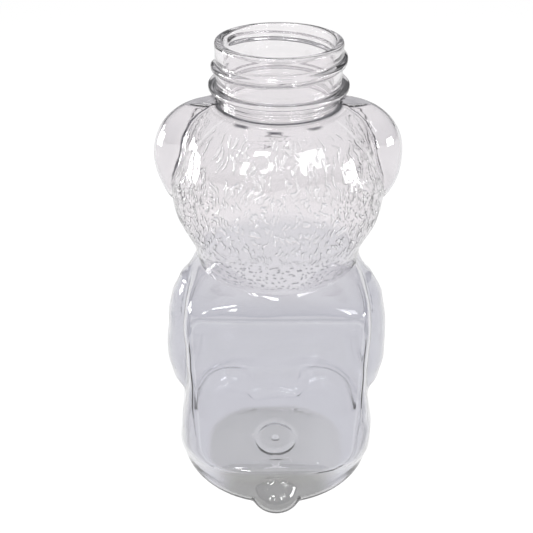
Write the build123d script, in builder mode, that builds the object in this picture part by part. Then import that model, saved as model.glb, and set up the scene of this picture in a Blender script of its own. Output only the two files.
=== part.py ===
"""Honey bear bottle: a clear blown bottle in the shape of a sitting bear, with an open mouth.

Millimetres, +Z up. The origin is on the neck's axis, on the surface that the bottle stands on.
The bear faces +Y. Its flat label panel and its tail are on the -Y side.
The real bottle is one moulding. It is written here as four zones of that wall, which meet face to
face at the neck, at the waist and above the hips.
"""

import os
from math import cos, pi, sin

from build123d import *

# Wall of the blown body, and how far a cut runs past what it cuts
wall = 0.6
overrun = 1.0

# Heights of the zones, from the standing surface up
hips_height = 31.0
torso_height = 57.5
head_height = 50.5
root_height = 2.5
waist_level = hips_height + torso_height
crown_level = waist_level + head_height
joint_level = crown_level + root_height

# Neck finish
finish_height = 14.7
finish_radius = 17.4
mouth_radius = 15.15
root_radius = 17.2
root_depth = 3.0
ring_radius = 19.5
ring_thickness = 1.4
ring_drop = 12.83
ring_round = 0.5
rim_round = 0.7
rim_level = joint_level + finish_height
ring_level = rim_level - ring_drop

# Head: its widest half-width, and how deep it is behind and in front of the axis
head_half_width = 32.0
head_back = 27.6
head_front = 27.6
crown_half_width = 19.2
crown_depth = 18.8
crown_squareness = 2.0

# Waist, where head and torso meet
waist_half_width = 24.4
waist_back = 22.2
waist_front = 22.6
waist_squareness = 2.1

# Torso between the arms
torso_half_width = 28.9
torso_back = 27.3
torso_front = 28.4
torso_squareness = 10.0
belly_squareness = 3.4

# Joint of torso and hips
hip_half_width = 33.0
hip_back = 26.9
hip_front = 27.6
hip_squareness = 6.0
hip_belly_squareness = 3.2

# Hips, widest above the heel, and the base that the heel turns in to
seat_half_width = 36.3
seat_back = 29.8
seat_front = 30.4
seat_squareness = 2.0
base_half_width = 33.3
heel_inset = 4.1

# Ears: the middle of each, its half-sizes and how far it leans out
ear_offset = 12.8
ear_rise = 29.7
ear_half_length = 24.9
ear_half_width = 20.6
ear_half_depth = 10.5
ear_lean = 36.4

# Muzzle, nose and eyes
muzzle_half_width = 13.5
muzzle_half_depth = 12.0
muzzle_half_height = 9.6
muzzle_proud = 5.8
muzzle_rise = 17.5
nose_half_width = 4.4
nose_half_depth = 2.6
nose_half_height = 3.1
nose_proud = 0.9
nose_rise = 22.5
eye_radius = 2.9
eye_proud = 1.2
eye_offset = 9.6
eye_rise = 31.5

# Arms: round columns beside the torso, and the forearms that lie on the belly
arm_offset = 22.0
arm_radius = 15.8
arm_clearance = 4.1
arm_length = 50.9
forearm_half_length = 15.5
forearm_half_depth = 7.6
forearm_half_width = 7.6
forearm_offset = 21.1
forearm_forward = 21.1
forearm_level = 61.0
forearm_lean = 20.0
forearm_swing = 42.0

# Feet and tail
foot_half_width = 11.6
foot_half_length = 14.0
foot_half_height = 12.4
foot_offset = 19.0
foot_reach = 36.0
foot_level = 7.4
tail_half_width = 9.3
tail_half_length = 10.0
tail_half_height = 7.6
tail_reach = 36.0
tail_level = 5.0

# Label panel on the back
panel_depth = 25.5
panel_width = 53.8
panel_height = 66.0
panel_low = 15.7
panel_round = 10.0

# Push-up under the bottle and the ring that its gate leaves
push_half_width = 26.0
push_half_depth = 20.5
push_height = 5.0
gate_radius = 7.3
gate_width = 0.9
gate_height = 0.5

# Points round one section
section_points = 24

# Sections of each zone: share of the zone's height, then of its half-width, back and front,
# then of its squareness behind and in front
head_shares = (
    (0.06, 0.785, 0.845, 0.845, 1.08, 1.08),
    (0.19, 0.832, 0.930, 0.930, 1.12, 1.12),
    (0.37, 0.955, 1.000, 1.000, 1.12, 1.12),
    (0.57, 0.984, 1.000, 1.000, 1.10, 1.10),
    (0.75, 0.905, 0.965, 0.965, 1.06, 1.06),
    (0.87, 0.845, 0.880, 0.880, 1.02, 1.02),
    (0.95, 0.745, 0.780, 0.780, 1.00, 1.00),
)
torso_shares = (
    (0.28, 1.030, 1.000, 0.990, 1.00, 1.00),
    (0.60, 1.000, 1.000, 1.000, 1.00, 1.00),
    (0.81, 0.995, 0.975, 0.965, 0.95, 0.90),
    (0.92, 0.950, 0.930, 0.900, 0.70, 0.80),
)
hip_shares = (
    (0.10, 0.937, 0.995, 0.990, 1.00, 1.00),
    (0.21, 0.970, 0.980, 1.000, 1.00, 1.00),
    (0.36, 0.977, 0.945, 0.992, 1.15, 1.02),
    (0.56, 0.951, 0.935, 0.965, 1.65, 1.15),
    (0.79, 0.922, 0.912, 0.925, 2.50, 1.40),
)
arm_shares = (
    (0.025, 0.66),
    (0.060, 0.82),
    (0.120, 0.92),
    (0.260, 1.00),
    (0.430, 0.97),
    (0.620, 0.90),
    (0.780, 0.78),
    (0.900, 0.57),
    (0.965, 0.34),
)


def section_outline(half_width, back, front, back_squareness, front_squareness):
    """Points of a squared oval round the axis.

    At the angle t the distance from the axis is r = 1 / (|cos t / w|^s + |sin t / d|^s)^(1/s),
    with w the half-width, d the depth and s the squareness of the side that t looks to.
    """
    points = []
    for step in range(section_points):
        turn = 2 * pi * step / section_points
        depth, power = (front, front_squareness) if sin(turn) > 0 else (back, back_squareness)
        reach = (abs(cos(turn) / half_width) ** power + abs(sin(turn) / depth) ** power) ** (-1 / power)
        points.append((reach * cos(turn), reach * sin(turn)))
    return points


def oval_depth(offset, half_width, depth, squareness):
    """Depth of a squared oval at a distance from its middle: d (1 - |x / w|^s)^(1/s)."""
    return depth * (1 - abs(offset / half_width) ** squareness) ** (1 / squareness)


def stacked_form(rows, inset):
    """Loft through squared ovals; each row is a level, a half-width, two depths, two squarenesses."""
    with BuildPart() as form:
        for level, half_width, back, front, back_power, front_power in rows:
            with BuildSketch(Plane.XY.offset(level)):
                with BuildLine():
                    Spline(
                        section_outline(
                            half_width - inset, back - inset, front - inset, back_power, front_power
                        ),
                        periodic=True,
                    )
                make_face()
        loft()
    return form.part


def zone_rows(shares, start, height, half_width, back, front, back_power, front_power):
    """Real sections of a zone from its table of shares."""
    return [
        (
            start + height * rise,
            half_width * wide,
            back * deep_back,
            front * deep_front,
            back_power * square_back,
            front_power * square_front,
        )
        for rise, wide, deep_back, deep_front, square_back, square_front in shares
    ]


def lobe(centre, half_sizes, inset, lean=0, swing=0):
    """A ball stretched to three half-sizes, less the inset.

    It is leaned about the front-to-back line and then swung about the upright through its centre.
    """
    width, depth, height = (size - inset for size in half_sizes)
    with BuildPart() as ball:
        Sphere(1)
        scale(by=(width, depth, height))
    leaned = ball.part.moved(Location((0, 0, 0), (0, lean, 0)))
    return leaned.moved(Location(centre, (0, 0, swing)))


def lobe_pair(centre, half_sizes, inset, lean=0, swing=0):
    """The same lobe on the bear's left and right."""
    right = lobe(centre, half_sizes, inset, lean, swing)
    return [right, mirror(right, about=Plane.YZ)]


def arm_pair(inset):
    """Two upright columns whose radius follows the arm's outline from elbow to shoulder."""
    low = hips_height + arm_clearance + inset
    length = arm_length - 2 * inset
    radius = arm_radius - inset
    with BuildPart() as arm:
        with BuildSketch(Plane.XZ):
            with BuildLine():
                Spline(
                    [
                        (0, low),
                        *((radius * out, low + length * rise) for rise, out in arm_shares),
                        (0, low + length),
                    ],
                    tangents=((1, 0), (-1, 0)),
                )
                Line((0, low + length), (0, low))
            make_face()
        revolve(axis=Axis.Z)
    return [arm.part.moved(Location((side * arm_offset, 0, 0))) for side in (1, -1)]


def panel_cutter(inset):
    """What the flat label panel takes off the back, from its plane out past the seat."""
    with BuildPart() as cutter:
        with BuildSketch(Plane.XZ.offset(panel_depth - inset)):
            with Locations((0, panel_low + panel_height / 2)):
                RectangleRounded(
                    panel_width + 2 * inset, panel_height + 2 * inset, panel_round + inset
                )
        extrude(amount=seat_back + overrun - panel_depth)
    return cutter.part


def push_up(inset):
    """The shallow dome under the bottle."""
    return lobe((0, 0, 0), (push_half_width, push_half_depth, push_height), -inset)


def head_form(inset):
    """Head with its ears and muzzle, and the root that carries the neck finish."""
    waist = (
        waist_level,
        waist_half_width,
        waist_back,
        waist_front,
        waist_squareness,
        waist_squareness,
    )
    crown = (
        crown_level - inset,
        crown_half_width,
        crown_depth,
        crown_depth,
        crown_squareness,
        crown_squareness,
    )
    rows = zone_rows(
        head_shares,
        waist_level,
        head_height,
        head_half_width,
        head_back,
        head_front,
        crown_squareness,
        crown_squareness,
    )
    skull = stacked_form([waist, *rows, crown], inset)
    ears = lobe_pair(
        (ear_offset, 0, waist_level + ear_rise),
        (ear_half_length, ear_half_depth, ear_half_width),
        inset,
        -ear_lean,
    )
    muzzle_reach = head_front + muzzle_proud
    muzzle = lobe(
        (0, muzzle_reach - muzzle_half_depth, waist_level + muzzle_rise),
        (muzzle_half_width, muzzle_half_depth, muzzle_half_height),
        inset,
    )
    nose = lobe(
        (0, muzzle_reach + nose_proud - nose_half_depth, waist_level + nose_rise),
        (nose_half_width, nose_half_depth, nose_half_height),
        inset,
    )
    eye_depth = oval_depth(eye_offset, head_half_width, head_front, crown_squareness)
    eyes = lobe_pair(
        (eye_offset, eye_depth + eye_proud - eye_radius, waist_level + eye_rise),
        (eye_radius, eye_radius, eye_radius),
        inset,
    )
    root_plane = Plane((0, 0, joint_level), x_dir=(0, 1, 0), z_dir=(0, 0, 1))
    with BuildPart() as form:
        add(skull)
        with BuildSketch(root_plane):
            Circle(mouth_radius if inset else root_radius)
        extrude(amount=-(root_height + root_depth + inset))
        add(ears)
        add(muzzle)
        add(nose)
        add(eyes)
    return form.part


def torso_form(inset):
    """Torso with arms, forearms and the upper part of the label panel."""
    hips = (
        hips_height,
        hip_half_width,
        hip_back,
        hip_front,
        hip_squareness,
        hip_belly_squareness,
    )
    waist = (
        waist_level,
        waist_half_width,
        waist_back,
        waist_front,
        waist_squareness,
        waist_squareness,
    )
    rows = zone_rows(
        torso_shares,
        hips_height,
        torso_height,
        torso_half_width,
        torso_back,
        torso_front,
        torso_squareness,
        belly_squareness,
    )
    trunk = stacked_form([hips, *rows, waist], inset)
    arms = arm_pair(inset)
    forearms = lobe_pair(
        (forearm_offset, forearm_forward, forearm_level),
        (forearm_half_length, forearm_half_depth, forearm_half_width),
        inset,
        forearm_lean,
        -forearm_swing,
    )
    panel = panel_cutter(inset)
    with BuildPart() as form:
        add(trunk)
        add(arms)
        add(forearms)
        add(panel, mode=Mode.SUBTRACT)
    return form.part


def hips_form(inset):
    """Hips with feet, tail and the lower end of the label panel, flat at the standing surface."""
    heel = (
        inset,
        base_half_width - heel_inset,
        seat_back - heel_inset,
        seat_front - heel_inset,
        seat_squareness,
        seat_squareness,
    )
    hips = (
        hips_height,
        hip_half_width,
        hip_back,
        hip_front,
        hip_squareness,
        hip_belly_squareness,
    )
    rows = zone_rows(
        hip_shares,
        0,
        hips_height,
        seat_half_width,
        seat_back,
        seat_front,
        seat_squareness,
        seat_squareness,
    )
    seat = stacked_form([heel, *rows, hips], inset)
    feet = lobe_pair(
        (foot_offset, foot_reach - foot_half_length, foot_level),
        (foot_half_width, foot_half_length, foot_half_height),
        inset,
    )
    tail = lobe(
        (0, tail_half_length - tail_reach, tail_level),
        (tail_half_width, tail_half_length, tail_half_height),
        inset,
    )
    panel = panel_cutter(inset)
    dome = push_up(inset)
    with BuildPart() as form:
        add(seat)
        add(feet)
        add(tail)
        split(bisect_by=Plane.XY.offset(inset), keep=Keep.TOP)
        add(panel, mode=Mode.SUBTRACT)
        add(dome, mode=Mode.SUBTRACT)
    return form.part


outer_head = head_form(0)
inner_head = head_form(wall)
outer_torso = torso_form(0)
inner_torso = torso_form(wall)
outer_hips = hips_form(0)
inner_hips = hips_form(wall)

# Neck finish: the plain wall that the thread stands on, the support ring and the neck's root
with BuildPart() as neck_finish:
    with BuildSketch(Plane.XZ):
        with BuildLine():
            Polyline(
                (mouth_radius, joint_level),
                (root_radius, joint_level),
                (root_radius, ring_level),
                (ring_radius, ring_level),
                (ring_radius, ring_level + ring_thickness),
                (finish_radius, ring_level + ring_thickness),
                (finish_radius, rim_level),
                (mouth_radius, rim_level),
                close=True,
            )
        make_face()
    revolve(axis=Axis.Z)
    rim = neck_finish.edges().filter_by(GeomType.CIRCLE).group_by(Axis.Z)[-1]
    fillet(rim, rim_round)
    ring_edges = neck_finish.edges().filter_by(
        lambda edge: edge.geom_type == GeomType.CIRCLE and abs(edge.radius - ring_radius) < ring_round
    )
    fillet(ring_edges, ring_round)

with BuildPart() as head:
    add(outer_head)
    add(inner_head, mode=Mode.SUBTRACT)

# Torso with arms and forearms
with BuildPart() as torso:
    add(outer_torso)
    add(inner_torso, mode=Mode.SUBTRACT)

# Hips with feet, tail and push-up, and the ring that the gate leaves under the push-up
with BuildPart() as hips:
    add(outer_hips)
    add(inner_hips, mode=Mode.SUBTRACT)
    with BuildSketch(Plane.XY.offset(push_height - gate_height)):
        Circle(gate_radius + gate_width / 2)
        Circle(gate_radius - gate_width / 2, mode=Mode.SUBTRACT)
    extrude(amount=gate_height + wall / 4)

os.makedirs("parts", exist_ok=True)
for node, piece in (
    ("neck_finish", neck_finish),
    ("head", head),
    ("torso", torso),
    ("hips", hips),
):
    piece.part.label = node
    export_step(piece.part, "parts/" + node + ".step")
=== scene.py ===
"""Honey bear bottle: the clear blown wall, its finish and a plain studio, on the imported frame."""

from math import pi, radians

import bpy
import numpy as np
from bpy.props import FloatProperty, FloatVectorProperty, PointerProperty
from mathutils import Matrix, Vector


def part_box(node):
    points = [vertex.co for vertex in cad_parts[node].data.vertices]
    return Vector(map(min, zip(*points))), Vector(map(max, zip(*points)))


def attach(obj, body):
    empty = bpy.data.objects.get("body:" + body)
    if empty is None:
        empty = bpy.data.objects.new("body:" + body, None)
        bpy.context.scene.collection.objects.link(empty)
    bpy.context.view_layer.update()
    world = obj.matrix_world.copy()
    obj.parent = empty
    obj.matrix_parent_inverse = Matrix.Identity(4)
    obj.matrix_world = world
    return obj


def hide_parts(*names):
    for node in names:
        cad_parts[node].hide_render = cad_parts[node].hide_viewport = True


bl_info = {
    "name": "Honey Bear Bottle",
    "version": (1, 0, 0),
    "blender": (4, 5, 0),
    "location": "3D View > Sidebar > Bear Bottle",
    "description": "Builds a clear blown bottle in the shape of a sitting bear",
    "category": "Add Mesh",
}

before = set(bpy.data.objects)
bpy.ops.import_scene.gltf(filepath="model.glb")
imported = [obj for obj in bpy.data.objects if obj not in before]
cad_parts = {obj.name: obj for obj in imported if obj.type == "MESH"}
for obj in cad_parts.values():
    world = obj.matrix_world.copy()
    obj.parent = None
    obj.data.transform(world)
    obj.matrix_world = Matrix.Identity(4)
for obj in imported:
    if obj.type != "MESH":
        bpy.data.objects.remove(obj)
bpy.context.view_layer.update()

# Metres in a millimetre; all sizes below are millimetres
MM = 0.001

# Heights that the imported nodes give
NECK_LOW, NECK_HIGH = (np.array(corner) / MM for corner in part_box("neck_finish"))
TORSO_LOW, TORSO_HIGH = (np.array(corner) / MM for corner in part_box("torso"))
RIM_LEVEL = NECK_HIGH[2]
WAIST_LEVEL = TORSO_HIGH[2]
HIPS_LEVEL = TORSO_LOW[2]
RING_RADIUS = NECK_HIGH[0]

# Neck finish: root, mouth, support ring, small fillets over and under the ring, and thread
ROOT_HEIGHT = 2.5
ROOT_RADIUS = 17.2
ROOT_FADE = 0.4
CROWN_LEVEL = NECK_LOW[2] - ROOT_HEIGHT
FINISH_RADIUS = 17.4
MOUTH_RADIUS = 15.15
RING_THICKNESS = 1.4
RING_DROP = 12.83
RING_LEVEL = RIM_LEVEL - RING_DROP
RING_TOP = RING_LEVEL + RING_THICKNESS
RING_ROUND = 0.45
RIM_ROUND = 0.7
FILLET = 0.3
THREAD_PITCH = 4.233
THREAD_HEIGHT = 1.2
THREAD_HALF_WIDTH = 1.35
THREAD_MIDDLE_DROP = 6.9
THREAD_START = 150.0
THREAD_END = 520.0
THREAD_RUN_OUT = 28.0
THREAD_SHARPNESS = 1.6

# Rounded corners of the neck: middle's distance and level, radius, start and end angle, points
LIP_CORNERS = (
    (MOUTH_RADIUS + RIM_ROUND, RIM_LEVEL - RIM_ROUND, RIM_ROUND, 180, 90, 4),
    (FINISH_RADIUS - RIM_ROUND, RIM_LEVEL - RIM_ROUND, RIM_ROUND, 90, 0, 4),
)
RING_CORNERS = (
    (FINISH_RADIUS + FILLET, RING_TOP + FILLET, FILLET, 200, 260, 2),
    (RING_RADIUS - RING_ROUND, RING_TOP - RING_ROUND, RING_ROUND, 88, 10, 3),
    (RING_RADIUS - RING_ROUND, RING_LEVEL + RING_ROUND, RING_ROUND, -10, -88, 3),
    (ROOT_RADIUS + FILLET, RING_LEVEL - FILLET, FILLET, 100, 170, 2),
)

# Sections: half-width, depths behind and in front, and squareness behind and in front
HEAD_HEIGHT = CROWN_LEVEL - WAIST_LEVEL
HEAD_BACK = 27.6
HEAD_FRONT = 27.6
HEAD = (32.0, HEAD_BACK, HEAD_FRONT, 2.0, 2.0)
CROWN = (19.2, 18.8, 18.8, 2.0, 2.0)
WAIST = (24.4, 22.2, 22.6, 2.1, 2.1)
TORSO = (28.9, 27.3, 28.4, 10.0, 3.4)
HIP = (33.0, 26.9, 27.6, 6.0, 3.2)
SEAT = (36.3, 29.8, 30.4, 2.0, 2.0)
BASE = (33.3, SEAT[1] * 0.99, SEAT[2] * 0.98, 2.0, 2.0)
HEEL_INSET = 4.1
HEEL_HEIGHT = 5.0

# Label panel on the back, which lies where the sine of the angle is below PANEL_SINE. SINE_LIMIT
# keeps the distance to its plane finite
PANEL_SINE = -0.2
SINE_LIMIT = 0.05
PANEL_DEPTH = 25.5
PANEL_WIDTH = 53.8
PANEL_HEIGHT = 66.0
PANEL_LOW = 15.7
PANEL_ROUND = 10.0
PANEL_ROUND_HIGH = 5.0
PANEL_EDGE = 1.3
PANEL_END = 2.2
PANEL_MIDDLE = PANEL_LOW + PANEL_HEIGHT / 2
PANEL_FINENESS = 2.5
PANEL_SPREAD = 5.0

# Levels, depths and half-widths between which painted shade darkens the heel's back
HEEL_SHADE_LEVELS = (PANEL_LOW + 1.2, PANEL_LOW - 1.5)
HEEL_SHADE_DEPTHS = (-10.0, -19.0)
HEEL_SHADE_WIDTHS = (24.0, 14.0)

# Push-up under the bottle, the ring that it stands on, and the marks of its gate
PUSH_HALF_WIDTH = 26.0
PUSH_HALF_DEPTH = 20.5
PUSH_SQUARENESS = 2.5
PUSH_HEIGHT = 4.2
PUSH_SOFTNESS = 0.1
PUSH_BORDER = 0.12
STAND_RADIUS = 30.0
STAND_WIDTH = 6.0
RING_REST = 0.3
GATE_RADIUS = 7.3
GATE_WIDTH = 1.5
GATE_HEIGHT = 0.42
NUB_RADIUS = 2.2
NUB_HEIGHT = 0.5
NUB_SHARPNESS = 1.4

# Wall thicknesses
WALL = 0.6
BASE_WALL = 1.1

# Fur on the head: where it starts behind the ears, how it frames the face, how far it stands out
FUR_LOW = WAIST_LEVEL + 1.2
FUR_HIGH = CROWN_LEVEL - 2.0
FUR_SIDE_LEVEL = WAIST_LEVEL + 24.5
FUR_SIDE_TURN = 9.2
FUR_SIDE_RISE = 24.0
FUR_SIDE_GAIN = 29.2
FUR_SIDE_FALL = 60.0
FACE_TURN = 42.0
FUR_FADE = 1.5
FUR_SIDE_FADE = 3.0
FACE_FADE = 6.0
FUR_STEP = 0.3

# Largest distance that the attributes tell apart, and how much narrower the painted shade along the
# crease on +X draws
GAP_LIMIT = 4.0
EAR_CREASE_RIGHT = 2.0

# Pits under the neck's root: angle, level, half-width in degrees, half-height
PIT_DEPTH = 0.08
PIT_SHARPNESS = 1.3
PITS = (
    (-121.0, CROWN_LEVEL - 0.55, 9.0, 0.40),
    (-93.5, CROWN_LEVEL - 1.05, 8.0, 0.36),
    (-62.0, CROWN_LEVEL - 0.75, 8.5, 0.34),
)

# Height and half-width of the mould's parting line on both sides
PARTING = 0.12
PARTING_WIDTH = 0.7

# Fur's strokes: noise that sways them, the levels where the long ones end and the dots begin, and
# for the upper, middle and low ones how their cells are stretched and how large they are
FUR_NOISE_SCALE = 0.17
FUR_NOISE_DETAIL = 2.0
FUR_NOISE_MIDDLE = (0.5, 0.5, 0.5)
FUR_SWAY = (7.0, 2.0, 0.0)
FUR_LONG_LEVELS = (WAIST_LEVEL + 31.0, WAIST_LEVEL + 36.0)
FUR_DOT_LEVELS = (WAIST_LEVEL + 17.0, WAIST_LEVEL + 10.0)
FUR_STROKES = (
    ((0.66, 0.15, 1.0), 0.30),
    ((0.72, 0.30, 1.0), 0.32),
    ((0.52, 0.62, 1.0), 0.20),
)

# Shares of a stroke's size: its full crest, its rim and half the rim's width
CREST_SHARE = 0.55
RIM_SHARE = 0.95
RIM_WIDTH_SHARE = 0.28

# How dark the painted shade on the rims draws: seen straight on, and more the more slanted
RIM_PLAIN = 0.30
RIM_SLANT = 0.85

# Fine ribs on the neck's root: their spacing, their height beside the fur's, middle and half-width
RIB_SPACING = 0.75
RIB_SHARE = 0.35
RIB_LINE = ((CROWN_LEVEL + RING_LEVEL) / 2, 1.3)

# Share of a line's half-width over which it draws fully
LINE_CORE = 0.3

# Bands of painted shade and light on the wall, from where they start to where they are full
# Painted shade: the torso drawn darker than the head
BODY_BAND = (WAIST_LEVEL + 4.0, WAIST_LEVEL - 6.0)
# Painted shade on the ears, fading out towards the crown
EAR_BAND = (-0.5, -2.5)
EAR_TOP_BAND = (CROWN_LEVEL - 2.0, CROWN_LEVEL - 7.0)
EAR_LINE_BAND = (WAIST_LEVEL + 25.0, WAIST_LEVEL + 33.0)
# Painted light: the nub drawn lighter than the push-up
NUB_BAND = (1.6, 0.8)
# Painted light: the push-up drawn lighter towards +X
LIGHT_SIDE_BAND = (4.0, 22.0)
LIGHT_SIDE_SHARE = 0.3

# Lines painted on the wall as shade or highlight: middle and half-width, and some of their shares
EAR_LINE = (-0.35, 0.5)
FUR_SIDE_GLINT = (0.0, 1.6)
PANEL_LINE = (0.0, 0.55)
PANEL_LINE_SHARE = 0.55
PANEL_GLINT = (-1.2, 0.4)
PANEL_GLINT_SHARE = 0.5
NECK_LINE = (ROOT_RADIUS + 0.35, 0.55)
NECK_LINE_LEVELS = (CROWN_LEVEL + 0.1, 1.2)
# Painted light: the gate's ring drawn lighter than the push-up
GATE_LINE = (GATE_RADIUS, 2.2)
GATE_SHARE = 0.3

# Painted shade at the edges, where the wall is seen along itself: how often light may have passed
# the wall, and the line at the crown that they spare
EDGE_DEPTHS = (3.0, 1.0)
CROWN_SPARED = (CROWN_LEVEL - 3.5, 7.5)

# Tint that takes nothing from the light
WHITE = (1.0, 1.0, 1.0)

# Scale of the fur's own map: millimetres of wall for one unit
FUR_MAP = 100.0

# Sections of each zone: shares of its height, half-width, back and front, and of its squareness
HEAD_SHARES = (
    (0.06, 0.785, 0.845, 0.845, 1.08, 1.08),
    (0.19, 0.832, 0.930, 0.930, 1.12, 1.12),
    (0.37, 0.955, 1.000, 1.000, 1.12, 1.12),
    (0.57, 0.984, 1.000, 1.000, 1.10, 1.10),
    (0.75, 0.905, 0.965, 0.965, 1.06, 1.06),
    (0.87, 0.845, 0.880, 0.880, 1.02, 1.02),
    (0.95, 0.745, 0.780, 0.780, 1.00, 1.00),
)
TORSO_SHARES = (
    (0.28, 1.030, 1.000, 0.990, 1.00, 1.00),
    (0.60, 1.000, 1.000, 1.000, 1.00, 1.00),
    (0.81, 0.995, 0.975, 0.965, 0.95, 0.90),
    (0.92, 0.950, 0.930, 0.900, 0.70, 0.80),
)
HIP_SHARES = (
    (0.10, 0.945, 1.005, 1.000, 1.00, 1.00),
    (0.21, 0.970, 0.980, 1.000, 1.00, 1.00),
    (0.36, 0.977, 0.945, 0.992, 1.15, 1.02),
    (0.56, 0.951, 0.935, 0.965, 1.65, 1.15),
    (0.79, 0.922, 0.912, 0.925, 2.50, 1.40),
)
ARM_SHARES = (
    (0.000, 0.00),
    (0.025, 0.66),
    (0.060, 0.82),
    (0.120, 0.92),
    (0.260, 1.00),
    (0.430, 0.97),
    (0.620, 0.90),
    (0.780, 0.78),
    (0.900, 0.57),
    (0.965, 0.34),
    (1.000, 0.00),
)

# Arms; then lobes: middle, half-sizes, lean about the front-to-back line, swing about the upright
ARM_OFFSET = 22.0
ARM_RADIUS = 15.8
ARM_LOW = HIPS_LEVEL + 4.1
ARM_LENGTH = 50.9
EAR = ((12.8, 0.0, WAIST_LEVEL + 29.7), (24.9, 10.5, 20.6), -36.4, 0.0)
MUZZLE = ((0.0, HEAD_FRONT + 5.8 - 12.0, WAIST_LEVEL + 17.5), (13.5, 12.0, 9.6), 0.0, 0.0)
NOSE = ((0.0, HEAD_FRONT + 6.7 - 2.6, WAIST_LEVEL + 22.5), (4.4, 2.6, 3.1), 0.0, 0.0)
EYE = ((9.6, 24.4, WAIST_LEVEL + 31.5), (2.9, 2.9, 2.9), 0.0, 0.0)
FOREARM = ((21.1, 21.1, 61.0), (15.5, 7.6, 7.6), 20.0, -42.0)
FOOT = ((19.0, 22.0, 7.4), (11.6, 14.0, 12.4), 0.0, 0.0)
TAIL = ((0.0, -25.2, 5.2), (9.2, 9.8, 7.4), 0.0, 0.0)

# How softly each form runs into the wall, and how deep the crease round the ears is
EAR_BLEND = 1.0
EAR_GROOVE = 0.5
ARM_BLEND = 2.0
FOREARM_BLEND = 8.0
FOOT_BLEND = 10.0
WAIST_BLEND = 2.0
MUZZLE_BLEND = 4.0
NOSE_BLEND = 1.2
TAIL_BLEND = 1.6

# How far above and below the waist its rounding reaches
WAIST_REACH = 6.0

# Smoothing: spacing of its rows, its passes, and those for the wall under the arms
SMOOTH_STEP = 0.5
SMOOTH_PASSES = 110
ARM_UNDER_PASSES = 5

# Where it acts: under the arms and off the back, and on the belly's side up to the waist, both
# above the heel. Each pair is where it starts and over how much it grows
ARM_UNDER_LEVEL = ARM_LOW + 1.5
ARM_UNDER_HALF = 5.0
ARM_UNDER_SINE = (-0.75, 0.2)
BELLY_SINE = (0.1, 0.4)
BELLY_TOP = (WAIST_LEVEL + 8.0, 5.0)
SMOOTH_FOOT = (HEEL_HEIGHT + 2.0, 5.0)

# Waves of the blown wall: height, length and level of their fading, then for each wave its turns
# round the bottle, its rise per mm and its phase
WAVE_HEIGHT = 0.07
WAVE_FADE = 8.0
WAVE_TOP = CROWN_LEVEL - 3.0
WAVES = ((3, 0.21, 0.4), (7, -0.33, 2.1), (5, 0.47, 4.0), (11, 0.14, 5.2))

# Grid of the wall: its columns and the samples that space them, the levels of its thread's rows,
# and the body's rows from the neck down: first level, last level and count
COLUMNS = 268
COLUMN_SAMPLES = 7201
THREAD_ROWS = (RIM_LEVEL - RIM_ROUND - 0.3, RING_TOP + 0.35, 27)
BODY_ROWS = (
    (RING_LEVEL - 0.9, CROWN_LEVEL + 0.4, 6),
    (CROWN_LEVEL + 0.1, CROWN_LEVEL - 2.0, 9),
    (CROWN_LEVEL - 2.5, CROWN_LEVEL - 5.0, 6),
    (CROWN_LEVEL - 5.8, WAIST_LEVEL + 2.4, 44),
    (WAIST_LEVEL + 1.8, WAIST_LEVEL + 0.02, 4),
    (WAIST_LEVEL - 0.02, PANEL_LOW + PANEL_HEIGHT + 0.5, 8),
    (PANEL_LOW + PANEL_HEIGHT + 0.2, PANEL_LOW + PANEL_HEIGHT - 1.6, 7),
    (PANEL_LOW + PANEL_HEIGHT - 2.4, ARM_LOW + 7.4, 23),
    (ARM_LOW + 6.4, ARM_LOW - 0.8, 14),
    (ARM_LOW - 1.8, HIPS_LEVEL, 3),
    (HIPS_LEVEL - 1.4, PANEL_LOW + 1.8, 9),
    (PANEL_LOW + 1.5, PANEL_LOW - 0.3, 7),
    (PANEL_LOW - 1.0, HEEL_HEIGHT, 11),
)

# Rows of the heel by angle, and of the underside by shares of the heel's last row and by radius
HEEL_ROWS = (15, 90, 6)
UNDER_SHARES = (0.97, 0.93, 0.88, 0.83, 0.79, 0.75, 0.71, 0.67, 0.62, 0.55, 0.48, 0.41, 0.34)
GATE_RADII = (8.3, 7.9, 7.6, 7.3, 7.0, 6.7, 6.3, 5.0, 3.6, 2.8, 2.3, 1.8, 1.0)

# Inside: the outside's rows from the waist down and under the ears, every second one on the rest of
# the head and on the underside, and none at the neck, right under it and at the gate. Its floor and
# bore are its own: distance from the axis, then height over the floor or level
INNER_NEAR = 2.6
EAR_UNDER = WAIST_LEVEL + 26.0
BORE_OVERLAP = 7
THICKENING_ROWS = 10
INNER_FLOOR = ((8.0, 0.0), (4.0, 0.0), (2.4, 0.0), (1.2, 0.4))
BORE = (
    (MOUTH_RADIUS, RIM_LEVEL - RIM_ROUND - 1.0),
    (MOUTH_RADIUS, RIM_LEVEL - 6.0),
    (MOUTH_RADIUS, RING_LEVEL),
    (MOUTH_RADIUS, CROWN_LEVEL + 0.8),
    (MOUTH_RADIUS + 0.3, CROWN_LEVEL - 0.1),
    (MOUTH_RADIUS + 1.3, CROWN_LEVEL - 0.7),
)

# Camera of the photograph: where it stands, how far it looks down, its lens
CAMERA_PLACE = (-3.4, -190.8, 211.3)
CAMERA_PITCH = 33.87
CAMERA_LENS = 47.93
SENSOR = 36.0

# Floor: half its width, and how far it lies under the bottle
FLOOR_HALF = 3000.0
FLOOR_DROP = -0.05

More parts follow.
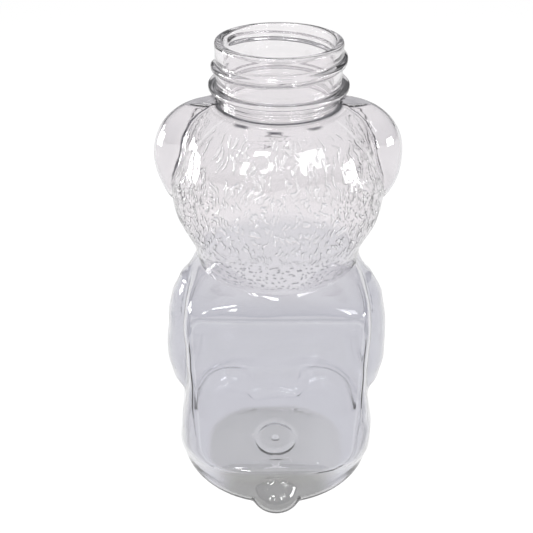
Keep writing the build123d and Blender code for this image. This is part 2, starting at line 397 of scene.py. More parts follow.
# Lamps: name, place, width and height, share of the main lamp's power. Those behind the camera,
# with a y below LENS_SIDE, also show through the near wall, mirrored in the far one. The one that
# INSIDE_ONLY names shows there alone and not on the outside
LENS_SIDE = -400.0
INSIDE_ONLY = "window_behind"
LAMPS = (
    ("window_left_back", (-470.0, 150.0, 140.0), (110.0, 190.0), 0.50),
    ("window_left_front", (-495.0, 10.0, 135.0), (110.0, 150.0), 0.40),
    ("window_right", (480.0, -140.0, 140.0), (190.0, 110.0), 0.45),
    ("lamp_behind", (-150.0, -470.0, 490.0), (150.0, 50.0), 0.20),
    ("strip_left", (-330.0, -560.0, 350.0), (90.0, 170.0), 0.16),
    ("strip_middle", (-70.0, -560.0, 330.0), (30.0, 90.0), 0.04),
    ("strip_right", (260.0, -560.0, 360.0), (60.0, 190.0), 0.14),
    ("window_behind", (330.0, -480.0, 430.0), (330.0, 240.0), 1.00),
    ("lamp_high", (-120.0, -60.0, 800.0), (180.0, 120.0), 0.60),
    ("ceiling", (0.0, 250.0, 800.0), (500.0, 300.0), 1.00),
)

# How high in the room its middle colour stands, as a share
MIDDLE_SKY_RISE = 0.25


def metres(lengths):
    """Lengths in metres, from millimetres."""
    return [length * MM for length in lengths]


def flow(at, knots, values):
    """Cubic curve through the knots; its slope at each knot is that of the chords on both sides."""
    knots = np.asarray(knots, float)
    values = np.asarray(values, float)
    slopes = np.gradient(values, knots)
    low = np.clip(np.searchsorted(knots, at, side="right") - 1, 0, len(knots) - 2)
    span = knots[low + 1] - knots[low]
    t = np.clip((at - knots[low]) / span, 0.0, 1.0)
    return (
        values[low] * (1 + 2 * t) * (1 - t) ** 2
        + slopes[low] * span * t * (1 - t) ** 2
        + values[low + 1] * t * t * (3 - 2 * t)
        + slopes[low + 1] * span * t * t * (t - 1)
    )


def ease(value):
    """Smooth step from 0 to 1: 3 t^2 - 2 t^3, with t clipped to 0..1."""
    t = np.clip(value, 0.0, 1.0)
    return t * t * (3 - 2 * t)


def join(first, second, blend, groove=0.0):
    """Greater of two radii, rounded where they cross: max(a, b) + h^2 / (4 k), h = k - |a - b|.

    A groove sinks the crossing by its depth times exp(-((a - b) / k)^2).
    """
    apart = first - second
    near = np.clip(blend - np.abs(apart), 0.0, None)
    sink = groove * np.exp(-((apart / blend) ** 2))
    return np.maximum(first, second) + near * near / (4 * blend) - sink


def oval_reach(turn, half_width, back, front, back_power, front_power):
    """Distance of a squared oval from the axis: (|cos t / w|^s + |sin t / d|^s)^(-1/s)."""
    ahead = np.sin(turn) > 0
    depth = np.where(ahead, front, back)
    power = np.where(ahead, front_power, back_power)
    total = np.abs(np.cos(turn) / half_width) ** power + np.abs(np.sin(turn) / depth) ** power
    return total ** (-1 / power)


def zone_reach(turn, level, start, height, first, shares, nominal, last):
    """Distance of a zone's wall from the axis, its sections flowing from its first to its last."""
    rows = [(start, *first)]
    for rise, wide, back, front, back_power, front_power in shares:
        share = (wide, back, front, back_power, front_power)
        rows.append((start + height * rise, *(size * part for size, part in zip(nominal, share))))
    rows.append((start + height, *last))
    table = np.array(rows)
    at = np.clip(level, table[0, 0], table[-1, 0])
    return oval_reach(turn, *(flow(at, table[:, 0], table[:, column]) for column in range(1, 6)))


def lobe_reach(turn, level, lobe, side=1):
    """Where a level ray from the axis leaves a stretched, turned ball.

    In the ball's own frame, divided by its half-sizes, the ray is p + t d and leaves the unit ball
    at t = (-p.d + sqrt((p.d)^2 - d.d (p.p - 1))) / d.d. Rays that miss it give a distance below
    zero.
    """
    middle, half_sizes, lean, swing = lobe
    lean, swing = radians(lean) * side, radians(swing) * side
    across = np.array(
        [
            [np.cos(swing) * np.cos(lean), np.sin(swing) * np.cos(lean), -np.sin(lean)],
            [-np.sin(swing), np.cos(swing), 0.0],
            [np.cos(swing) * np.sin(lean), np.sin(swing) * np.sin(lean), np.cos(lean)],
        ]
    ) / np.array(half_sizes)[:, None]
    origin = np.array(middle) * (side, 1, 1)
    offset = np.stack(np.broadcast_arrays(0.0, 0.0, level), -1) - origin
    heading = np.stack([np.cos(turn), np.sin(turn), np.zeros_like(turn)], axis=-1)
    start = offset @ across.T
    ray = heading @ across.T
    along = (start * ray).sum(-1)
    length = (ray * ray).sum(-1)
    root = along ** 2 - length * ((start * start).sum(-1) - 1)
    return np.where(root > 0, (-along + np.sqrt(np.clip(root, 0, None))) / length, -1.0)


def arm_reach(turn, level, side):
    """Where a level ray leaves an arm: a circle beside the axis, its radius from the outline."""
    shares = np.array(ARM_SHARES)
    radius = ARM_RADIUS * np.clip(
        np.interp((level - ARM_LOW) / ARM_LENGTH, shares[:, 0], shares[:, 1], 0, 0), 0, None
    )
    inside = radius ** 2 - (ARM_OFFSET * np.sin(turn)) ** 2
    reach = side * ARM_OFFSET * np.cos(turn) + np.sqrt(np.clip(inside, 0, None))
    return np.where((inside > 0) & (side * np.cos(turn) > 0), reach, -1.0)


def panel_plane(turn):
    """Distance of the label panel's plane from the axis."""
    return PANEL_DEPTH / np.clip(-np.sin(turn), SINE_LIMIT, None)


def panel_border(turn, reach, level):
    """Distance from the label panel's border, below 0 inside it: a rounded rectangle's distance."""
    place = np.minimum(reach, panel_plane(turn)) * np.cos(turn)
    rounding = np.where(level > PANEL_MIDDLE, PANEL_ROUND_HIGH, PANEL_ROUND)
    side = np.abs(place) - (PANEL_WIDTH / 2 - rounding)
    end = np.abs(level - PANEL_MIDDLE) - (PANEL_HEIGHT / 2 - rounding)
    corner = np.hypot(np.clip(side, 0, None), np.clip(end, 0, None))
    border = corner + np.minimum(np.maximum(side, end), 0) - rounding
    return np.where(np.sin(turn) < PANEL_SINE, border, GAP_LIMIT)


def panel_inset(turn, reach, level):
    """Presses the label panel flat: inside its border the wall stays at the panel's plane."""
    end = ease((np.abs(level - PANEL_MIDDLE) - PANEL_HEIGHT / 2 + PANEL_ROUND) / PANEL_ROUND)
    press = ease(-panel_border(turn, reach, level) / (PANEL_EDGE + PANEL_END * end))
    return reach + press * (np.minimum(reach, panel_plane(turn)) - reach)


def heel_inset(level):
    """How far the heel turns in below its height: a quarter of an ellipse."""
    drop = np.clip(1 - level / HEEL_HEIGHT, 0, 1)
    return HEEL_INSET * (1 - np.sqrt(np.clip(1 - drop * drop, 0, 1)))


def pit_marks(turn, level):
    """1 in the middle of each pit under the neck's root, falling to 0 at its oval border."""
    marks = np.zeros(np.broadcast(turn, level).shape)
    for angle, middle, half_turn, half_height in PITS:
        apart = (np.degrees(turn) - angle + 180) % 360 - 180
        away = (apart / half_turn) ** 2 + ((level - middle) / half_height) ** 2
        marks = np.maximum(marks, ease(PIT_SHARPNESS * (1 - away)))
    return marks


def side_turn(turn):
    """Degrees from the nearer side of the bear: above 0 towards its back, below 0 its face."""
    nearest = np.degrees(np.arcsin(np.clip(np.abs(np.sin(turn)), 0, 1)))
    return np.where(np.sin(turn) < 0, nearest, -nearest)


def fur_side(turn, level):
    """How far in degrees a place is behind the line that bounds the fur beside the ears."""
    above = (level - FUR_SIDE_LEVEL) / FUR_SIDE_RISE
    start = FUR_SIDE_TURN + np.where(above > 0, FUR_SIDE_GAIN, FUR_SIDE_FALL) * above
    return side_turn(turn) - start


def fur_cover(turn, level):
    """1 where the head has fur and 0 on ears and face, with soft borders."""
    height = ease((level - FUR_LOW) / FUR_FADE) * ease((FUR_HIGH - level) / FUR_FADE)
    behind = ease(fur_side(turn, level) / FUR_SIDE_FADE)
    beside = ease((FACE_TURN + side_turn(turn)) / FACE_FADE)
    ahead = ease(fur_side(-turn, level) / FUR_SIDE_FADE) * beside
    return height * np.maximum(behind, ahead)


def skull_reach(turn, level):
    """Distance of the head's wall from the axis, without ears and face."""
    skull = zone_reach(turn, level, WAIST_LEVEL, HEAD_HEIGHT, WAIST, HEAD_SHARES, HEAD, CROWN)
    return skull - FUR_STEP * (1 - fur_cover(turn, level)) * (level < FUR_HIGH)


def ear_gap(turn, level):
    """How far the skull's wall stands out past the ears: below 0 on an ear, 0 along its crease."""
    ears = [lobe_reach(turn, level, EAR, side) for side in (1, -1)]
    return skull_reach(turn, level) - np.maximum(*ears)


def ear_crease(turn, level):
    """Distance in mm along the wall from the crease behind each ear, about twice as far on +X.

    Off the ear it is the gap over the length of its gradient; on the ear's steep flank it is the
    gap itself.
    """
    step = 0.05
    gap = ear_gap(turn, level)
    half = step / HEAD_BACK
    across = (ear_gap(turn + half, level) - ear_gap(turn - half, level)) / (2 * step)
    along = (ear_gap(turn, level + step) - ear_gap(turn, level - step)) / (2 * step)
    away = gap / np.where(gap > 0, np.maximum(np.hypot(across, along), 1.0), 1.0)
    away = away * np.where(np.cos(turn) > 0, EAR_CREASE_RIGHT, 1.0)
    return np.where(np.sin(turn) < 0, np.clip(away, -GAP_LIMIT, GAP_LIMIT), GAP_LIMIT)


def push_inside(x, y):
    """1 in the middle of the push-up, 0 on its border, a squared oval, and below 0 outside it."""
    across = np.abs(x / PUSH_HALF_WIDTH) ** PUSH_SQUARENESS
    along = np.abs(y / PUSH_HALF_DEPTH) ** PUSH_SQUARENESS
    return 1 - across - along


def floor_share(points):
    """1 on the push-up's dome and 0 outside it, with a narrow soft border."""
    return ease(push_inside(points[:, 0], points[:, 1]) / PUSH_BORDER)


def body_reach(turn, level):
    """Distance of the bear's plain outer wall from the axis, from the heel to the neck's root."""
    head = skull_reach(turn, level)
    torso_height = WAIST_LEVEL - HIPS_LEVEL
    torso = zone_reach(turn, level, HIPS_LEVEL, torso_height, HIP, TORSO_SHARES, TORSO, WAIST)
    hips = zone_reach(turn, level, 0.0, HIPS_LEVEL, BASE, HIP_SHARES, SEAT, HIP)
    above_crown = np.clip((level - CROWN_LEVEL) / ROOT_FADE, 0, 1)
    head = head + above_crown * (ROOT_RADIUS - head)
    for side in (1, -1):
        head = join(head, lobe_reach(turn, level, EAR, side), EAR_BLEND, EAR_GROOVE)
        torso = join(torso, arm_reach(turn, level, side), ARM_BLEND)
        torso = join(torso, lobe_reach(turn, level, FOREARM, side), FOREARM_BLEND)
        hips = join(hips, lobe_reach(turn, level, FOOT, side), FOOT_BLEND)
    head = join(head, lobe_reach(turn, level, MUZZLE), MUZZLE_BLEND)
    head = join(head, lobe_reach(turn, level, NOSE), NOSE_BLEND)
    for side in (1, -1):
        head = join(head, lobe_reach(turn, level, EYE, side), NOSE_BLEND)
    hips = join(hips, lobe_reach(turn, level, TAIL), TAIL_BLEND)
    reach = np.where(level >= WAIST_LEVEL, head, np.where(level >= HIPS_LEVEL, torso, hips))
    fold = join(head, torso, WAIST_BLEND)
    reach = np.where(np.abs(level - WAIST_LEVEL) < WAIST_REACH, fold, reach)
    reach = reach - pit_marks(turn, level) * PIT_DEPTH
    seam = PARTING * ease(1 - np.abs(np.sin(turn)) * reach / PARTING_WIDTH)
    seam = seam * (level < CROWN_LEVEL)
    return panel_inset(turn, reach, level) - heel_inset(level) + seam + wall_waves(turn, level)


def wall_waves(turn, level):
    """Slight unevenness of a blown wall: sum of sin(n t + k z + p), faded out at heel and neck."""
    waves = sum(np.sin(around * turn + up * level + phase) for around, up, phase in WAVES)
    fade = ease((WAVE_TOP - level) / WAVE_FADE) * ease((level - HEEL_HEIGHT) / WAVE_FADE)
    return WAVE_HEIGHT * waves * fade


def thread_reach(turn, level):
    """Height of the thread: a rounded ridge along a line that climbs by the pitch in each turn."""
    height = np.zeros_like(level)
    for lap in (0, 360):
        angle = np.degrees(turn) % 360 + lap
        middle = RIM_LEVEL - THREAD_MIDDLE_DROP + THREAD_PITCH * (angle - 180) / 360
        across = (level - middle) / THREAD_HALF_WIDTH
        ridge = ease(THREAD_SHARPNESS * (1 - np.abs(across)))
        fade = ease((angle - THREAD_START) / THREAD_RUN_OUT)
        fade = fade * ease((THREAD_END - angle) / THREAD_RUN_OUT)
        height = np.maximum(height, THREAD_HEIGHT * ridge * fade)
    return height


def corner_rows(corners):
    """Points (r, z) along rounded corners, each an arc round its own middle."""
    rows = []
    for across, up, radius, start, end, count in corners:
        turns = np.radians(np.linspace(start, end, count))
        rows += [(across + radius * np.cos(t), up + radius * np.sin(t)) for t in turns]
    return rows


def neck_rows():
    """Outer profile (r, z) of the neck, from the lip's inner edge over the ring to its root."""
    wall = [(FINISH_RADIUS, level) for level in np.linspace(*THREAD_ROWS)]
    return corner_rows(LIP_CORNERS) + wall + corner_rows(RING_CORNERS)


def column_turns(count):
    """Angles of the grid's columns, closer together at the upright edges of the label panel."""
    fine = np.linspace(0, 2 * pi, COLUMN_SAMPLES)
    middle = (fine[1:] + fine[:-1]) / 2
    edge = np.arctan2(PANEL_DEPTH, PANEL_WIDTH / 2)
    density = np.ones_like(middle)
    for place in (pi + edge, 2 * pi - edge):
        density += PANEL_FINENESS * np.exp(-(((middle - place) / radians(PANEL_SPREAD)) ** 2))
    total = np.concatenate([[0.0], np.cumsum(density)])
    return np.interp(np.linspace(0, total[-1], count, endpoint=False), total, fine)


def ring(turn, reach, level):
    """Points at a distance from the axis and at a level, one for each angle."""
    level = np.broadcast_to(level, turn.shape)
    return np.stack([reach * np.cos(turn), reach * np.sin(turn), level], -1)


def wall_grid(turn):
    """Outer wall as rows of points from lip to base, and how many form its neck and its body."""
    points = []
    for reach, level in neck_rows():
        levels = np.full(len(turn), level)
        thread = thread_reach(turn, levels) if reach == FINISH_RADIUS else 0.0
        points.append(ring(turn, reach + thread, levels))
    neck_count = len(points)
    body_levels = [np.linspace(*row) for row in BODY_ROWS]
    body_levels.append(HEEL_HEIGHT * (1 - np.sin(np.radians(np.linspace(*HEEL_ROWS)))))
    grid_turn, grid_level = np.meshgrid(turn, np.concatenate(body_levels))
    reach = softened(body_reach(grid_turn, grid_level), grid_turn, grid_level)
    points += list(ring(grid_turn, reach, grid_level))
    for share in UNDER_SHARES:
        points.append(under_row(turn, reach[-1] * share))
    for radius in GATE_RADII:
        points.append(under_row(turn, np.full(len(turn), radius)))
    return np.array(points), neck_count, len(grid_level)


def softened(reach, turn, level):
    """Smooths the belly's side up to the waist, and slightly the wall under the arms.

    Each pass moves a point to the mean of its four neighbours, which spreads it by a bell curve. It
    works on evenly spaced rows of its own, and the wall's rows read the result between them.
    """
    even = np.arange(HEEL_HEIGHT, WAIST_LEVEL + 2 * WAIST_REACH, SMOOTH_STEP)
    smooth = body_reach(*np.meshgrid(turn[0], even))
    slightly = smooth
    for number in range(SMOOTH_PASSES):
        if number == ARM_UNDER_PASSES:
            slightly = smooth
        padded = np.concatenate([smooth[:1], smooth, smooth[-1:]])
        rows = (padded[2:] + padded[:-2]) / 2
        sides = (np.roll(smooth, 1, axis=1) + np.roll(smooth, -1, axis=1)) / 2
        smooth = (rows + sides) / 2
    place = np.clip((level - even[0]) / SMOOTH_STEP, 0, len(even) - 1.001)
    row = place.astype(int)
    part = place - row
    column = np.arange(turn.shape[1])
    under_arms = ease(1 - np.abs(level - ARM_UNDER_LEVEL) / ARM_UNDER_HALF)
    under_arms *= ease((np.sin(turn) - ARM_UNDER_SINE[0]) / ARM_UNDER_SINE[1])
    belly = ease((np.sin(turn) - BELLY_SINE[0]) / BELLY_SINE[1])
    belly *= ease((BELLY_TOP[0] - level) / BELLY_TOP[1])
    for field, share in ((slightly, under_arms), (smooth, belly)):
        near = field[row, column] * (1 - part) + field[row + 1, column] * part
        reach = reach + share * ease((level - SMOOTH_FOOT[0]) / SMOOTH_FOOT[1]) * (near - reach)
    return reach


def under_row(turn, reach):
    """One row of the underside: the standing ring, the push-up's dome, the gate's ring and nub."""
    x, y = reach * np.cos(turn), reach * np.sin(turn)
    inside = np.clip(push_inside(x, y), 0, None)
    dome = PUSH_HEIGHT * (np.hypot(inside, PUSH_SOFTNESS) - PUSH_SOFTNESS)
    rest = RING_REST * ease(np.abs(reach - STAND_RADIUS) / STAND_WIDTH) * (inside <= 0)
    gate = GATE_HEIGHT * ease(1 - np.abs(reach - GATE_RADIUS) / GATE_WIDTH)
    nub = NUB_HEIGHT * ease(NUB_SHARPNESS * (1 - reach / NUB_RADIUS))
    return np.stack([x, y, dome + rest - gate - nub], -1)


def grid_normals(points):
    """Outward unit normals of rows that close on themselves, from central differences."""
    around = np.roll(points, -1, axis=1) - np.roll(points, 1, axis=1)
    down = np.gradient(points, axis=0)
    normal = np.cross(down, around)
    return normal / np.linalg.norm(normal, axis=-1, keepdims=True)


def bottle_points(turn):
    """All rows of the bottle's wall: outside from lip to base, then inside back up to the lip."""
    outer, neck_count, body_count = wall_grid(turn)
    under_start = neck_count + body_count
    thickness = np.full(len(outer), WALL)
    thickness[under_start:] = BASE_WALL
    thickening = slice(under_start - THICKENING_ROWS, under_start)
    thickness[thickening] = np.linspace(WALL, BASE_WALL, THICKENING_ROWS)
    inner = outer - grid_normals(outer) * thickness[:, None, None]
    levels = outer[:, 0, 2]
    even = np.arange(len(outer)) % 2 == 0
    kept = (levels < WAIST_LEVEL + INNER_NEAR) | even
    kept |= np.abs(levels - EAR_UNDER) < INNER_NEAR * 2
    kept[under_start:] = even[under_start:]
    kept[: neck_count + BORE_OVERLAP] = False
    kept[-len(GATE_RADII) :] = False
    floor_level = PUSH_HEIGHT + BASE_WALL
    floor_rows = [ring(turn, reach, floor_level + rise) for reach, rise in INNER_FLOOR]
    bore_rows = [ring(turn, reach, level) for reach, level in BORE]
    return outer, np.array(floor_rows[::-1] + list(inner[kept][::-1]) + bore_rows[::-1])


def grid_mesh(name, outer, inside, turn):
    """Mesh of rows of points: quads between rows, a fan at each end, and a join at the lip.

    Attributes of the outer rows tell the material where fur, its side border, the creases round the
    ears, the pits, the label panel's border and the push-up are. Across the map fur_map runs the
    angle times a typical radius, up it the level.
    """
    rows = np.concatenate([outer, inside])
    count, columns = rows.shape[:2]
    below_outer = len(outer)
    index = np.arange(count * columns).reshape(count, columns)
    upper = np.concatenate([index[: below_outer - 1], index[below_outer:-1], index[-1:]])
    lower = np.concatenate([index[1:below_outer], index[below_outer + 1 :], index[:1]])
    quads = np.stack(
        [upper, lower, np.roll(lower, -1, axis=1), np.roll(upper, -1, axis=1)], axis=-1
    ).reshape(-1, 4)
    poles = np.array([rows[below_outer - 1].mean(0), rows[below_outer].mean(0)])
    points = np.concatenate([rows.reshape(-1, 3), poles])
    first_pole = count * columns
    last_outer, first_inner = index[below_outer - 1], index[below_outer]
    fans = np.concatenate(
        [
            np.stack([last_outer, np.full(columns, first_pole), np.roll(last_outer, -1)], -1),
            np.stack([np.roll(first_inner, -1), np.full(columns, first_pole + 1), first_inner], -1),
        ]
    )
    mesh = bpy.data.meshes.new(name)
    mesh.vertices.add(len(points))
    mesh.vertices.foreach_set("co", (points * MM).astype(np.float32).ravel())
    corners = np.concatenate([quads.ravel(), fans.ravel()]).astype(np.int32)
    mesh.loops.add(len(corners))
    mesh.loops.foreach_set("vertex_index", corners)
    starts = np.concatenate(
        [np.arange(len(quads)) * 4, quads.size + np.arange(len(fans)) * 3]
    ).astype(np.int32)
    mesh.polygons.add(len(starts))
    mesh.polygons.foreach_set("loop_start", starts)
    mesh.polygons.foreach_set("use_smooth", np.ones(len(starts), bool))
    mesh.update(calc_edges=True)

    turns = np.broadcast_to(turn, (count, columns)).ravel()
    levels = points[:first_pole, 2]
    reaches = np.hypot(points[:first_pole, 0], points[:first_pole, 1])
    outside = np.arange(first_pole) < below_outer * columns
    on_head = outside & (levels > FUR_LOW) & (levels < CROWN_LEVEL)
    border = np.clip(panel_border(turns, reaches, levels), -GAP_LIMIT, GAP_LIMIT)
    for label, field, place, plain in (
        ("fur_cover", fur_cover(turns, levels), on_head, 0),
        ("fur_side", np.clip(fur_side(turns, levels), -GAP_LIMIT, GAP_LIMIT), on_head, GAP_LIMIT),
        ("ear_crease", ear_crease(turns, levels), on_head, GAP_LIMIT),
        ("pits", pit_marks(turns, levels), on_head, 0),
        ("panel_border", border, outside & (levels > HEEL_HEIGHT), GAP_LIMIT),
        ("floor_share", floor_share(points[:first_pole]), outside & (levels < PUSH_HEIGHT + 1), 0),
    ):
        values = np.append(np.where(place, field, plain), [plain, plain])
        attribute = mesh.attributes.new(label, "FLOAT", "POINT")
        attribute.data.foreach_set("value", values.astype(np.float32))
    across = np.concatenate([turns * HEAD_BACK, [0, 0]]) / FUR_MAP
    place = np.stack([across, points[:, 2] / FUR_MAP], -1)[corners]
    quad_across = place[: quads.size, 0].reshape(-1, 4)
    half_map = pi * HEAD_BACK / FUR_MAP
    wraps = quad_across.max(1) - quad_across.min(1) > half_map
    quad_across[wraps] += (quad_across[wraps] < half_map) * (2 * half_map)
    mesh.uv_layers.new(name="fur_map").data.foreach_set("uv", place.astype(np.float32).ravel())
    mesh.validate()
    return mesh


def add_node(tree, kind, **values):
    """New node with settings, and with values on its inputs: underscores stand for spaces."""
    node = tree.nodes.new(kind)
    for name, value in values.items():
        label = name.replace("_", " ")
        if label in node.inputs:
            node.inputs[label].default_value = value
        else:
            setattr(node, name, value)
    return node


def math_node(tree, operation, first, second=None):
    """Math node whose inputs are sockets or plain numbers; returns its output."""
    node = tree.nodes.new("ShaderNodeMath")
    node.operation = operation
    for slot, value in enumerate((first, second)):
        if isinstance(value, (int, float)):
            node.inputs[slot].default_value = value
        elif value is not None:
            tree.links.new(value, node.inputs[slot])
    return node.outputs[0]


def times(tree, product, *factors):
    """Product of sockets or plain numbers."""
    for factor in factors:
        product = math_node(tree, "MULTIPLY", product, factor)
    return product


def vector_node(tree, operation, *values):
    """Vector Math node whose inputs are sockets or plain vectors."""
    node = add_node(tree, "ShaderNodeVectorMath", operation=operation)
    for slot, value in enumerate(values):
        if isinstance(value, tuple):
            node.inputs[slot].default_value = value
        else:
            tree.links.new(value, node.inputs[slot])
    return node


def parts(tree, vector):
    """Outputs X, Y and Z of a vector."""
    node = add_node(tree, "ShaderNodeSeparateXYZ")
    tree.links.new(vector, node.inputs[0])
    return node.outputs


def attribute(tree, label):
    """Value of one of the mesh's attributes."""
    return add_node(tree, "ShaderNodeAttribute", attribute_name=label).outputs["Fac"]


def tinted(tree, colour_socket, share, other):
    """A colour with a share of another, which is a plain one."""
    node = add_node(tree, "ShaderNodeMix", data_type="RGBA")
    node.inputs["B"].default_value = (*other, 1.0)
    tree.links.new(colour_socket, node.inputs["A"])
    tree.links.new(share, node.inputs["Factor"])
    return node.outputs["Result"]


def finish_surface(tree, share, first, second):
    """Ends a material's tree: the first shader, with a share of the second."""
    out = add_node(tree, "ShaderNodeOutputMaterial")
    mix = add_node(tree, "ShaderNodeMixShader")
    for slot, socket in enumerate((share, first.outputs[0], second.outputs[0])):
        tree.links.new(socket, mix.inputs[slot])
    tree.links.new(mix.outputs["Shader"], out.inputs["Surface"])


def empty_tree(owner):
    """Node tree of a material or world, with its first nodes taken out."""
    owner.use_nodes = True
    owner.node_tree.nodes.clear()
    return owner.node_tree


def band(tree, value, start, end):
    """Smooth 0 to 1 as a value runs from start to end, which may be the lower one."""
    node = add_node(tree, "ShaderNodeMapRange", interpolation_type="SMOOTHSTEP")
    node.inputs["From Min"].default_value = start
    node.inputs["From Max"].default_value = end
    tree.links.new(value, node.inputs["Value"])
    return node.outputs["Result"]


def line(tree, value, middle, half_width):
    """1 where a value equals the middle, falling smoothly to 0 at the half-width on both sides."""
    away = math_node(tree, "ABSOLUTE", math_node(tree, "SUBTRACT", value, middle))
    return band(tree, away, half_width, half_width * LINE_CORE)


def fur_masks(tree):
    """Crest and rim of the fur's strokes, long above and dots below, and where the dots are."""
    place = add_node(tree, "ShaderNodeUVMap", uv_map="fur_map")
    spread = vector_node(tree, "SCALE", place.outputs[0])
    spread.inputs["Scale"].default_value = FUR_MAP
    wave = add_node(tree, "ShaderNodeTexNoise", Scale=FUR_NOISE_SCALE, Detail=FUR_NOISE_DETAIL)
    tree.links.new(spread.outputs[0], wave.inputs["Vector"])
    centred = vector_node(tree, "SUBTRACT", wave.outputs["Color"], FUR_NOISE_MIDDLE)
    sway = vector_node(tree, "MULTIPLY_ADD", centred.outputs[0], FUR_SWAY, spread.outputs[0])

    level = parts(tree, spread.outputs[0])["Y"]
    high = band(tree, level, *FUR_LONG_LEVELS)
    low = band(tree, level, *FUR_DOT_LEVELS)
    middle = math_node(tree, "SUBTRACT", math_node(tree, "SUBTRACT", 1.0, high), low)

    crest, rim = 0.0, 0.0
    for (stretch, size), share in zip(FUR_STROKES, (high, middle, low)):
        squeeze = vector_node(tree, "MULTIPLY", sway.outputs[0], stretch)
        cells = add_node(tree, "ShaderNodeTexVoronoi", voronoi_dimensions="2D", Scale=1.0)
        tree.links.new(squeeze.outputs[0], cells.inputs["Vector"])
        away = cells.outputs["Distance"]
        peak = times(tree, band(tree, away, size, size * CREST_SHARE), share)
        edge = times(tree, line(tree, away, size * RIM_SHARE, size * RIM_WIDTH_SHARE), share)
        crest = math_node(tree, "ADD", peak, crest)
        rim = math_node(tree, "ADD", edge, rim)
    cover = attribute(tree, "fur_cover")
    return [times(tree, mask, cover) for mask in (crest, rim, low)]


def clear_plastic(look):
    """Clear blown plastic with raised fur. Its tint carries painted shade at its edges, creases,
    pits, fur rims, panel border, ears, torso, heel and base, painted highlights on the fur and the
    panel, and painted light on the gate and nub.
    """
    material = bpy.data.materials.new("clear_blown_plastic")
    tree = empty_tree(material)
    path = add_node(tree, "ShaderNodeLightPath")
    veil = add_node(tree, "ShaderNodeBsdfTransparent", Color=(*look.shade, 1.0))
    body = add_node(
        tree,
        "ShaderNodeBsdfPrincipled",
        Transmission_Weight=1.0,
        Roughness=look.roughness,
        IOR=look.refraction,
    )
    facing = add_node(tree, "ShaderNodeLayerWeight", Blend=0.5).outputs["Facing"]
    place = add_node(tree, "ShaderNodeTexCoord").outputs["Object"]
    along_x, along_y, level = parts(tree, place)
    flat = vector_node(tree, "MULTIPLY", place, (1.0, 1.0, 0.0))
    radius = vector_node(tree, "LENGTH", flat.outputs[0]).outputs["Value"]

    # Painted shade: the tint darkens where the wall is seen along itself
    along = times(
        tree,
        math_node(tree, "POWER", facing, look.edge_power),
        band(tree, path.outputs["Transmission Depth"], *EDGE_DEPTHS),
        math_node(tree, "SUBTRACT", 1.0, line(tree, level, *metres(CROWN_SPARED))),
    )
    # Painted shade on the heel's back, below the label panel
    heel = times(
        tree,
        band(tree, level, *metres(HEEL_SHADE_LEVELS)),
        band(tree, along_y, *metres(HEEL_SHADE_DEPTHS)),
        band(tree, math_node(tree, "ABSOLUTE", along_x), *metres(HEEL_SHADE_WIDTHS)),
    )
    crest, rim, dotted = fur_masks(tree)
    slant = math_node(tree, "MULTIPLY_ADD", facing, RIM_SLANT)
    slant.node.inputs[2].default_value = RIM_PLAIN
    ears, side, pits, panel, floor = (
        attribute(tree, label)
        for label in ("ear_crease", "fur_side", "pits", "panel_border", "floor_share")
    )
    # Painted shade: a near-black line round the neck's root
    neck_shade_line = line(tree, radius, *metres(NECK_LINE))
    neck_shade_line = times(tree, neck_shade_line, line(tree, level, *metres(NECK_LINE_LEVELS)))
    # Painted light: the push-up drawn lighter towards +X
    painted_light_side = times(tree, band(tree, along_x, *metres(LIGHT_SIDE_BAND)), floor)
    # Painted light: the gate's ring and the nub drawn lighter than the push-up round them
    gate = times(tree, line(tree, radius, *metres(GATE_LINE)), floor)
    nub = times(tree, band(tree, radius, *metres(NUB_BAND)), floor)
    # Painted shade: the ears drawn darker than the head
    ear = times(tree, band(tree, ears, *EAR_BAND), band(tree, level, *metres(EAR_TOP_BAND)))
    # Painted shade: a near-black line along the crease behind each ear
    ear_shade_line = times(tree, line(tree, ears, *EAR_LINE), band(tree, level, *metres(EAR_LINE_BAND)))
    shares = (
        (band(tree, level, *metres(BODY_BAND)), look.torso_shade),
        (heel, look.heel_shade_tint),
        (floor, look.push_up_shade),
        (times(tree, painted_light_side, LIGHT_SIDE_SHARE), WHITE),
        (times(tree, gate, GATE_SHARE), WHITE),
        (nub, WHITE),
        (ear, look.shaded_ear_tint),
        (along, look.edge_shade),
        # Painted shade: dark rims round the fur's strokes, and dark dots low on the head
        (times(tree, rim, slant), look.line_shade),
        (times(tree, crest, dotted), look.line_shade),
        # Painted highlights: the fur's crests and its side border drawn with no tint
        (times(tree, crest, math_node(tree, "SUBTRACT", 1.0, dotted)), WHITE),
        (line(tree, side, *FUR_SIDE_GLINT), WHITE),
        # Painted shade along the panel's border, and a painted highlight just inside it
        (times(tree, line(tree, panel, *PANEL_LINE), PANEL_LINE_SHARE), look.line_shade),
        (times(tree, line(tree, panel, *PANEL_GLINT), PANEL_GLINT_SHARE), WHITE),
        # Painted shade: near-black in the creases round the ears and the neck, and in the pits
        (ear_shade_line, look.crease_shade),
        (neck_shade_line, look.crease_shade),
        (pits, look.crease_shade),
    )
    tint = add_node(tree, "ShaderNodeRGB").outputs[0]
    tint.default_value = (*look.tint, 1.0)
    for share, other in shares:
        tint = tinted(tree, tint, share, other)
    tree.links.new(tint, body.inputs["Base Color"])
    bump = add_node(tree, "ShaderNodeBump", Strength=1.0, Distance=look.fur_height)
    turns = math_node(tree, "SINE", times(tree, level, 2 * pi / (RIB_SPACING * MM)))
    ribs = times(tree, turns, line(tree, level, *metres(RIB_LINE)))
    relief = math_node(tree, "ADD", crest, times(tree, ribs, RIB_SHARE))
    tree.links.new(relief, bump.inputs["Height"])
    tree.links.new(bump.outputs["Normal"], body.inputs["Normal"])
    finish_surface(tree, path.outputs["Is Shadow Ray"], body, veil)
    return material


